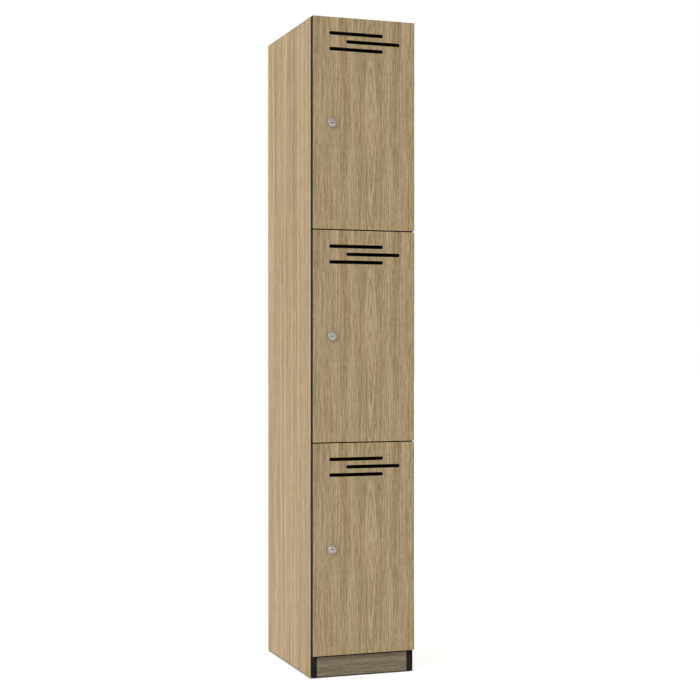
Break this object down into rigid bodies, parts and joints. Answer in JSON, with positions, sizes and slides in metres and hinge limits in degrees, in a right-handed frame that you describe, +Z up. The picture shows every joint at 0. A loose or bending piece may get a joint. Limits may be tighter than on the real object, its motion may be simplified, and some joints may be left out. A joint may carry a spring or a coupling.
{
  "type": "coin operated locker",
  "caption": "Tall narrow oak laminate locker with doors one above the other, vent slots, concealed cup hinges and coin return locks.",
  "frame": {"origin": "middle of the footprint, on the floor", "axes": "+Z up, doors face -Y, +X to the right seen from the front"},
  "size_m": [0.305, 0.459, 1.85],
  "materials": {
    "oak_laminate": "fine vertical oak grain, satin, black edge banding",
    "oak_laminate_plinth": "oak grain laid level, satin",
    "inner_board": "oak laminate, satin, in the shade",
    "back_board": "plain pale board",
    "lock_metal": "satin nickel",
    "zinc_steel": "zinc plated",
    "case_plastic": "fine moulded texture",
    "black_plastic": "moulded"
  },
  "bodies": {
    "carcass": {"left_side_panel": "oak_laminate", "right_side_panel": "oak_laminate", "top_panel": "inner_board", "bottom_panel": "inner_board", "shelf_above_lower": "inner_board", "shelf_above_middle": "inner_board", "back_panel": "back_board", "plinth_board": "oak_laminate_plinth", "glide_front_left": "black_plastic", "glide_front_right": "black_plastic", "glide_rear_left": "black_plastic", "glide_rear_right": "black_plastic", "hinge_arm_lower_low": "zinc_steel", "hinge_plate_lower_low": "zinc_steel", "hinge_arm_lower_high": "zinc_steel", "hinge_plate_lower_high": "zinc_steel", "strike_lower": "zinc_steel", "hinge_arm_middle_low": "zinc_steel", "hinge_plate_middle_low": "zinc_steel", "hinge_arm_middle_high": "zinc_steel", "hinge_plate_middle_high": "zinc_steel", "strike_middle": "zinc_steel", "hinge_arm_upper_low": "zinc_steel", "hinge_plate_upper_low": "zinc_steel", "hinge_arm_upper_high": "zinc_steel", "hinge_plate_upper_high": "zinc_steel", "strike_upper": "zinc_steel"},
    "lower_door": {"door_lower": "oak_laminate", "hinge_cup_lower_low": "zinc_steel", "hinge_pin_lower_low": "zinc_steel", "hinge_cup_lower_high": "zinc_steel", "hinge_pin_lower_high": "zinc_steel", "lock_housing_lower": "lock_metal", "lock_case_lower": "case_plastic", "coin_tray_lower": "black_plastic"},
    "lower_plug": {"key_plug_lower": "lock_metal"},
    "lower_bolt": {"lock_bolt_lower": "zinc_steel"},
    "lower_lever": {"coin_lever_lower": "zinc_steel"},
    "middle_door": {"door_middle": "oak_laminate", "hinge_cup_middle_low": "zinc_steel", "hinge_pin_middle_low": "zinc_steel", "hinge_cup_middle_high": "zinc_steel", "hinge_pin_middle_high": "zinc_steel", "lock_housing_middle": "lock_metal", "lock_case_middle": "case_plastic", "coin_tray_middle": "black_plastic"},
    "middle_plug": {"key_plug_middle": "lock_metal"},
    "middle_bolt": {"lock_bolt_middle": "zinc_steel"},
    "middle_lever": {"coin_lever_middle": "zinc_steel"},
    "upper_door": {"door_upper": "oak_laminate", "hinge_cup_upper_low": "zinc_steel", "hinge_pin_upper_low": "zinc_steel", "hinge_cup_upper_high": "zinc_steel", "hinge_pin_upper_high": "zinc_steel", "lock_housing_upper": "lock_metal", "lock_case_upper": "case_plastic", "coin_tray_upper": "black_plastic"},
    "upper_plug": {"key_plug_upper": "lock_metal"},
    "upper_bolt": {"lock_bolt_upper": "zinc_steel"},
    "upper_lever": {"coin_lever_upper": "zinc_steel"}
  },
  "joints": [
    {"name": "lower_door_swing", "type": "hinge", "parent": "carcass", "child": "lower_door", "pos_m": [0.14464, -0.2191, 0.36067], "axis": [0, 0, 1], "range_deg": [0, 95]},
    {"name": "lower_key_turn", "type": "hinge", "parent": "lower_door", "child": "lower_plug", "pos_m": [-0.0955, -0.2255, 0.36067], "axis": [0, 1, 0], "range_deg": [0, 90]},
    {"name": "lower_bolt_throw", "type": "slide", "parent": "lower_door", "child": "lower_bolt", "axis": [-1, 0, 0], "range_m": [0, 0.0099]},
    {"name": "lower_coin_lever_tilt", "type": "hinge", "parent": "lower_door", "child": "lower_lever", "pos_m": [-0.0815, -0.1945, 0.37967], "axis": [0, 1, 0], "range_deg": [-20, 0], "stiffness_Nm_per_rad": 0.01, "springref_deg": 8.59},
    {"name": "middle_door_swing", "type": "hinge", "parent": "carcass", "child": "middle_door", "pos_m": [0.14464, -0.2191, 0.957], "axis": [0, 0, 1], "range_deg": [0, 95]},
    {"name": "middle_key_turn", "type": "hinge", "parent": "middle_door", "child": "middle_plug", "pos_m": [-0.0955, -0.2255, 0.957], "axis": [0, 1, 0], "range_deg": [0, 90]},
    {"name": "middle_bolt_throw", "type": "slide", "parent": "middle_door", "child": "middle_bolt", "axis": [-1, 0, 0], "range_m": [0, 0.0099]},
    {"name": "middle_coin_lever_tilt", "type": "hinge", "parent": "middle_door", "child": "middle_lever", "pos_m": [-0.0815, -0.1945, 0.976], "axis": [0, 1, 0], "range_deg": [-20, 0], "stiffness_Nm_per_rad": 0.01, "springref_deg": 8.59},
    {"name": "upper_door_swing", "type": "hinge", "parent": "carcass", "child": "upper_door", "pos_m": [0.14464, -0.2191, 1.55333], "axis": [0, 0, 1], "range_deg": [0, 95]},
    {"name": "upper_key_turn", "type": "hinge", "parent": "upper_door", "child": "upper_plug", "pos_m": [-0.0955, -0.2255, 1.55333], "axis": [0, 1, 0], "range_deg": [0, 90]},
    {"name": "upper_bolt_throw", "type": "slide", "parent": "upper_door", "child": "upper_bolt", "axis": [-1, 0, 0], "range_m": [0, 0.0099]},
    {"name": "upper_coin_lever_tilt", "type": "hinge", "parent": "upper_door", "child": "upper_lever", "pos_m": [-0.0815, -0.1945, 1.57233], "axis": [0, 1, 0], "range_deg": [-20, 0], "stiffness_Nm_per_rad": 0.01, "springref_deg": 8.59}
  ],
  "couplings": [
    {"joint": "lower_bolt_throw", "follows": "lower_key_turn", "m_per_rad": 0.006302},
    {"joint": "middle_bolt_throw", "follows": "middle_key_turn", "m_per_rad": 0.006302},
    {"joint": "upper_bolt_throw", "follows": "upper_key_turn", "m_per_rad": 0.006302}
  ]
}
